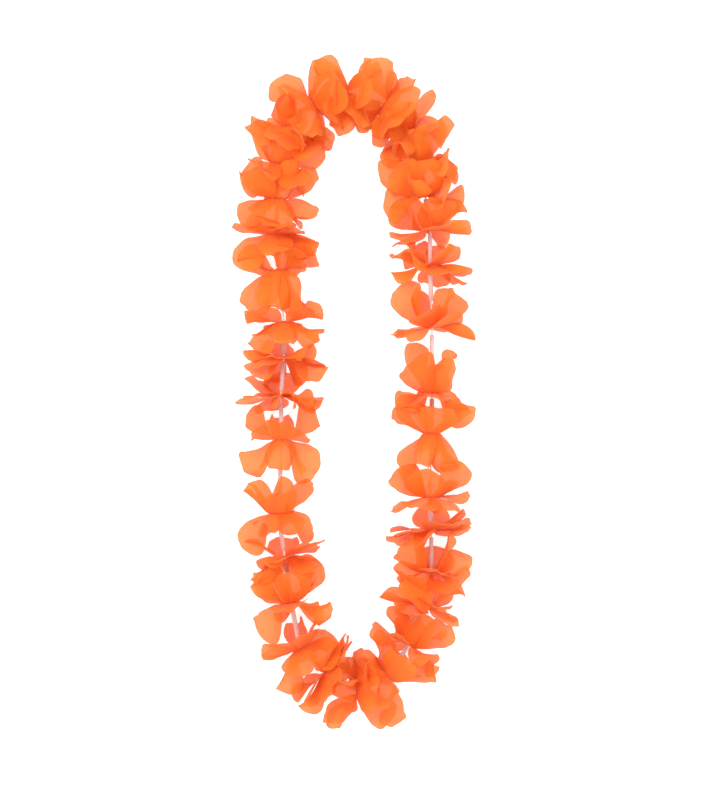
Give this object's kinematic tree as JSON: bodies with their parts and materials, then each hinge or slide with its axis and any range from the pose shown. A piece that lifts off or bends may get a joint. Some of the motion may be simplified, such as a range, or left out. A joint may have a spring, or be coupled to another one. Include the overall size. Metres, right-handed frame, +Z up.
{
  "type": "artificial flower lei",
  "caption": "Closed party lei of orange fabric flowers and short translucent tubes threaded on a thin white cord, laid flat with an open middle.",
  "frame": {"origin": "on the surface that the lei lies on, under the middle of its outline", "axes": "+Y along the lei's length, towards its round top, +X across it, +Z up from the surface"},
  "size_m": [0.1845, 0.5085, 0.0624],
  "materials": {
    "petal_fabric": "thin woven polyester, light passes through it",
    "spacer_plastic": "milky translucent",
    "cord_thread": "twisted thread"
  },
  "bodies": {
    "root": {"flowers_01_02": "petal_fabric", "flowers_03_04": "petal_fabric", "flower_05": "petal_fabric", "flower_06": "petal_fabric", "flower_07": "petal_fabric", "flower_08": "petal_fabric", "flower_09": "petal_fabric", "flower_10": "petal_fabric", "flower_11": "petal_fabric", "flower_12": "petal_fabric", "flowers_13_14": "petal_fabric", "flower_15": "petal_fabric", "flower_16": "petal_fabric", "flower_17": "petal_fabric", "flower_18": "petal_fabric", "flower_19": "petal_fabric", "flower_20": "petal_fabric", "flower_21": "petal_fabric", "flower_22": "petal_fabric", "flower_23": "petal_fabric", "flower_24": "petal_fabric", "flower_25": "petal_fabric", "flower_26": "petal_fabric", "flower_27": "petal_fabric", "flower_28": "petal_fabric", "flowers_29_30": "petal_fabric", "flowers_31_32": "petal_fabric", "spacer_01": "spacer_plastic", "spacer_02": "spacer_plastic", "spacer_03": "spacer_plastic", "spacer_04": "spacer_plastic", "spacer_05": "spacer_plastic", "spacer_06": "spacer_plastic", "spacer_07": "spacer_plastic", "spacer_08": "spacer_plastic", "spacer_09": "spacer_plastic", "spacer_10": "spacer_plastic", "spacer_11": "spacer_plastic", "spacer_12": "spacer_plastic", "spacer_13": "spacer_plastic", "spacer_14": "spacer_plastic", "spacer_15": "spacer_plastic", "spacer_16": "spacer_plastic", "spacer_17": "spacer_plastic", "spacer_18": "spacer_plastic", "spacer_19": "spacer_plastic", "spacer_20": "spacer_plastic", "spacer_21": "spacer_plastic", "spacer_22": "spacer_plastic", "spacer_23": "spacer_plastic", "spacer_24": "spacer_plastic", "spacer_25": "spacer_plastic", "spacer_26": "spacer_plastic", "spacer_27": "spacer_plastic", "spacer_28": "spacer_plastic", "spacer_29": "spacer_plastic", "spacer_30": "spacer_plastic", "spacer_31": "spacer_plastic", "spacer_32": "spacer_plastic", "cord": "cord_thread"}
  },
  "joints": []
}
